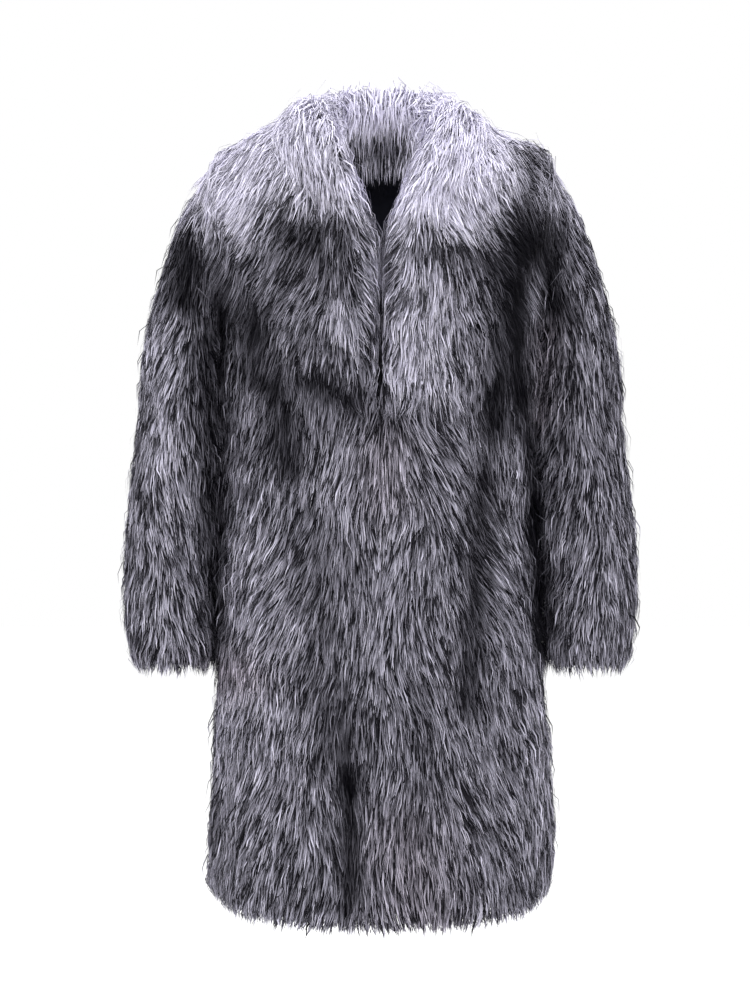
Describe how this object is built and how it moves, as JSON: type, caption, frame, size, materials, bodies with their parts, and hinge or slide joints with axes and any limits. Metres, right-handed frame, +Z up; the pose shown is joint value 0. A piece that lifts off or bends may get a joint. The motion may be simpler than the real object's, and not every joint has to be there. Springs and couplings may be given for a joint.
{
  "type": "faux fur coat",
  "caption": "Knee-length faux fur coat in its worn shape: straight body of two fronts and a back, long sleeves, and a large shawl-like collar that rolls open at the neck.",
  "frame": {"origin": "the middle of the neck hole, level with the shoulder seams, where the wearer's shoulders carry the coat", "axes": "+Z up along the body, -Y out of the front closing, +X towards the wearer's left"},
  "size_m": [0.664, 0.3523, 1.0863],
  "materials": {
    "body_fur": "deep faux fur pile in grey, near black at the roots and silver at the tips",
    "collar_fur": "longer and paler silver faux fur pile with dark roots"
  },
  "bodies": {
    "root": {"back": "body_fur", "collar_left": "collar_fur", "collar_right": "collar_fur", "front_left": "body_fur", "front_right": "body_fur", "sleeve_left": "body_fur", "sleeve_right": "body_fur"}
  },
  "joints": []
}
